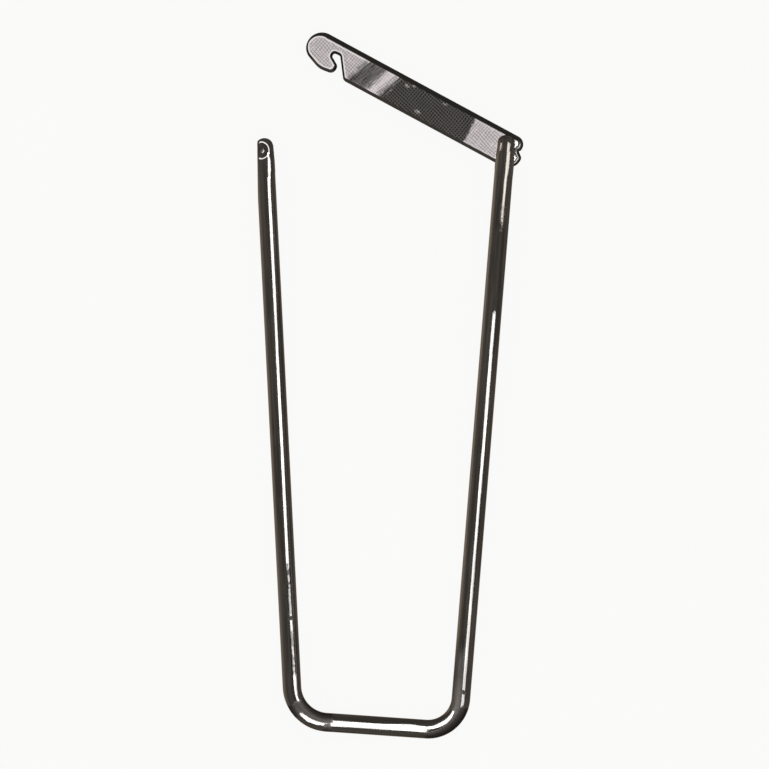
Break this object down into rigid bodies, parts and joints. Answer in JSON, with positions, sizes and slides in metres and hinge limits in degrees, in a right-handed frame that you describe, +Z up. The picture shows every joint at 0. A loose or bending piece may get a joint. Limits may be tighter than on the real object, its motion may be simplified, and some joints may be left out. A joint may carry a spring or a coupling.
{
  "type": "cable needle",
  "caption": "U-shaped locking holder for knitting stitches, used like a cable needle: stitches slide on a long prong and a hooked bar swings over to lock the open end.",
  "frame": {"origin": "middle of the footprint, hook bar open as stored, on the plane the holder rests on", "axes": "+X along the base of the U towards the pivot prong, +Y towards the open end, +Z up through the thickness"},
  "size_m": [0.0568, 0.1492, 0.004],
  "materials": {
    "wire": "polished, darkened nickel plate on steel wire",
    "strip": "darkened nickel plate with a fine impressed cross-hatch",
    "fastener": "dark, slightly worn steel"
  },
  "bodies": {
    "pivot_prong": {"frame_pivot_side": "wire", "pivot_rivet": "fastener"},
    "catch_prong": {"frame_catch_side": "wire", "catch_pin": "fastener"},
    "hook_bar": {"hook_bar": "strip"}
  },
  "joints": [
    {"name": "bar_swing", "type": "hinge", "parent": "pivot_prong", "child": "hook_bar", "pos_m": [0.02467, 0.0524, 0.002], "axis": [0, 0, -1], "range_deg": [-26.85, 172]},
    {"name": "prong_squeeze", "type": "hinge", "parent": "pivot_prong", "child": "catch_prong", "pos_m": [0.00549, -0.07259, 0.002], "axis": [0, 0, 1], "range_deg": [-4.98, 0], "stiffness_Nm_per_rad": 20}
  ]
}
